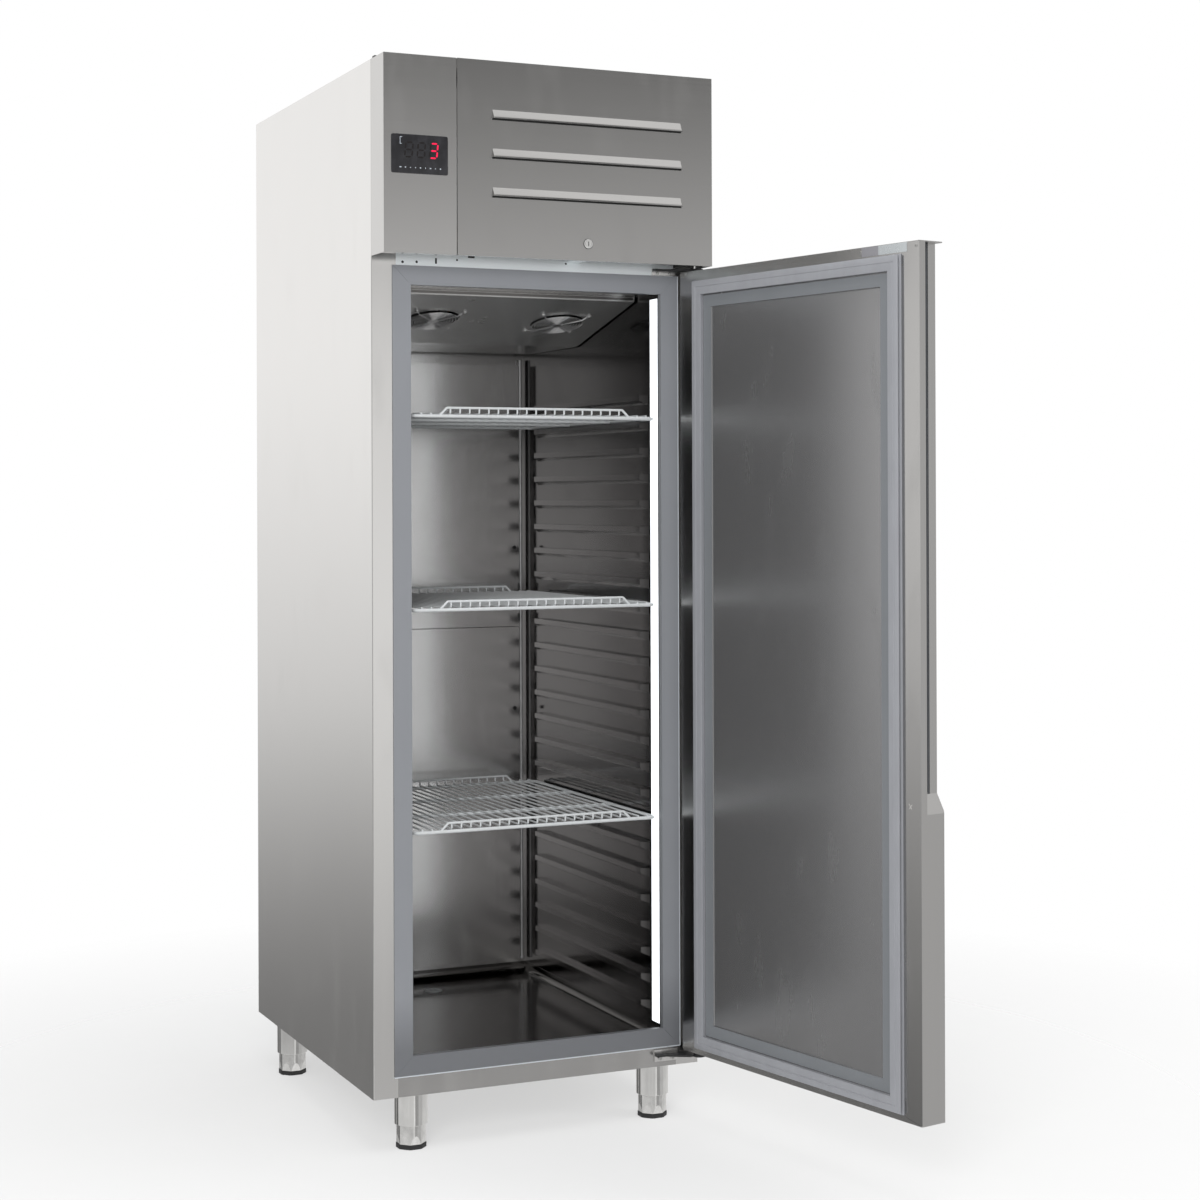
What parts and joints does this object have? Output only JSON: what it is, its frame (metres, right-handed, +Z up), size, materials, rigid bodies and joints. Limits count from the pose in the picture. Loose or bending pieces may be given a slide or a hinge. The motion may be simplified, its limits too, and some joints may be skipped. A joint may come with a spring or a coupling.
{
  "type": "commercial refrigerator",
  "caption": "Upright commercial refrigerator with one solid side-hung door, coated wire shelves, a stainless steel body and its cooling machine on top.",
  "frame": {"origin": "on the floor, midway across the body, under the plane of the body's front face", "axes": "+X to the right and +Y to the rear as one faces the door, +Z up"},
  "size_m": [0.8445, 1.5442, 2.126],
  "materials": {
    "outer_sheet": "brushed",
    "stainless_sheet": "brushed",
    "door_sheet": "brushed",
    "fascia_sheet": "brushed",
    "liner_sheet": "satin",
    "galvanised_sheet": "matte",
    "bright_steel": "polished",
    "chromed_wire": "polished",
    "foot_steel": "satin",
    "fan_metal": "satin",
    "fin_metal": "satin",
    "copper": "satin",
    "black_paint": "gloss",
    "foam": "matte",
    "frame_plastic": "satin",
    "retainer_plastic": "satin",
    "grey_plastic": "satin",
    "black_plastic": "satin",
    "coated_wire": "satin",
    "light_channel": "satin",
    "light_cover": "satin",
    "display_gloss": "gloss",
    "gasket_rubber": "matte",
    "black_rubber": "matte"
  },
  "bodies": {
    "cabinet": {"side_panel_left": "outer_sheet", "side_panel_right": "outer_sheet", "back_panel": "galvanised_sheet", "base_panel": "stainless_sheet", "machine_deck": "galvanised_sheet", "front_rail": "galvanised_sheet", "cabinet_foam": "foam", "liner_wall_left": "liner_sheet", "liner_wall_right": "liner_sheet", "liner_back": "liner_sheet", "liner_ceiling": "liner_sheet", "floor_pan": "liner_sheet", "breaker_frame": "frame_plastic", "led_housing": "light_channel", "led_diffuser": "light_cover", "evaporator_cover": "liner_sheet", "evaporator_coil": "fin_metal", "evaporator_fan_frames": "black_plastic", "evaporator_fan_guards": "chromed_wire", "duct_plate_upper": "liner_sheet", "duct_plate_lower": "liner_sheet", "duct_clips": "black_plastic", "hinge_bracket_top": "bright_steel", "hinge_bracket_bottom": "bright_steel", "cabinet_screws": "bright_steel", "control_strip": "fascia_sheet", "display_lens": "display_gloss", "controller_box": "black_plastic", "panel_hinge": "bright_steel", "compressor": "black_paint", "compressor_grommets": "black_rubber", "condenser_coil": "fin_metal", "condenser_shroud": "galvanised_sheet", "condenser_fan_motor": "black_paint", "refrigerant_pipes": "copper", "filter_drier": "copper", "electrical_box": "grey_plastic", "drain_fitting": "grey_plastic", "power_inlet": "black_plastic", "leg_sleeves": "stainless_sheet"},
    "door": {"door_skin": "door_sheet", "door_foam": "foam", "door_liner": "door_sheet", "door_gasket": "gasket_rubber", "gasket_retainer": "retainer_plastic", "handle_liner": "retainer_plastic", "door_end_caps": "stainless_sheet", "door_bushings": "black_plastic"},
    "service_panel": {"service_panel": "fascia_sheet"},
    "panel_lock": {"panel_lock": "bright_steel"},
    "evaporator_fan_left": {"evaporator_fan_left": "black_plastic"},
    "evaporator_fan_right": {"evaporator_fan_right": "black_plastic"},
    "condenser_fan": {"condenser_fan": "fan_metal"},
    "shelf_top": {"shelf_top": "coated_wire"},
    "shelf_middle": {"shelf_middle": "coated_wire"},
    "shelf_bottom": {"shelf_bottom": "coated_wire"},
    "foot_front_left": {"foot_front_left": "foot_steel"},
    "foot_front_right": {"foot_front_right": "foot_steel"},
    "foot_rear_left": {"foot_rear_left": "foot_steel"},
    "foot_rear_right": {"foot_rear_right": "foot_steel"}
  },
  "joints": [
    {"name": "door_hinge", "type": "hinge", "parent": "cabinet", "child": "door", "pos_m": [0.3332, -0.0415, 0.937], "axis": [0, 0, 1], "range_deg": [-101.3, 0]},
    {"name": "service_panel_hinge", "type": "hinge", "parent": "cabinet", "child": "service_panel", "pos_m": [0.07, -0.066, 2.11], "axis": [-1, 0, 0], "range_deg": [0, 80]},
    {"name": "lock_turn", "type": "hinge", "parent": "service_panel", "child": "panel_lock", "pos_m": [0.075, -0.07, 1.7736], "axis": [0, 1, 0], "range_deg": [0, 90]},
    {"name": "evaporator_fan_left_spin", "type": "hinge", "parent": "cabinet", "child": "evaporator_fan_left", "pos_m": [-0.128, 0.268, 1.64449], "axis": [0, 0.2395, 0.9709], "continuous": true},
    {"name": "evaporator_fan_right_spin", "type": "hinge", "parent": "cabinet", "child": "evaporator_fan_right", "pos_m": [0.154, 0.268, 1.64449], "axis": [0, 0.2395, 0.9709], "continuous": true},
    {"name": "condenser_fan_spin", "type": "hinge", "parent": "cabinet", "child": "condenser_fan", "pos_m": [0.12, 0.15, 1.919], "axis": [0, 1, 0], "continuous": true},
    {"name": "shelf_top_slide", "type": "slide", "parent": "cabinet", "child": "shelf_top", "axis": [0, -1, 0], "range_m": [0, 0.45]},
    {"name": "shelf_middle_slide", "type": "slide", "parent": "cabinet", "child": "shelf_middle", "axis": [0, -1, 0], "range_m": [0, 0.45]},
    {"name": "shelf_bottom_slide", "type": "slide", "parent": "cabinet", "child": "shelf_bottom", "axis": [0, -1, 0], "range_m": [0, 0.45]},
    {"name": "foot_front_left_screw", "type": "slide", "parent": "cabinet", "child": "foot_front_left", "axis": [0, 0, -1], "range_m": [-0.01, 0.03]},
    {"name": "foot_front_right_screw", "type": "slide", "parent": "cabinet", "child": "foot_front_right", "axis": [0, 0, -1], "range_m": [-0.01, 0.03]},
    {"name": "foot_rear_left_screw", "type": "slide", "parent": "cabinet", "child": "foot_rear_left", "axis": [0, 0, -1], "range_m": [-0.01, 0.03]},
    {"name": "foot_rear_right_screw", "type": "slide", "parent": "cabinet", "child": "foot_rear_right", "axis": [0, 0, -1], "range_m": [-0.01, 0.03]}
  ]
}
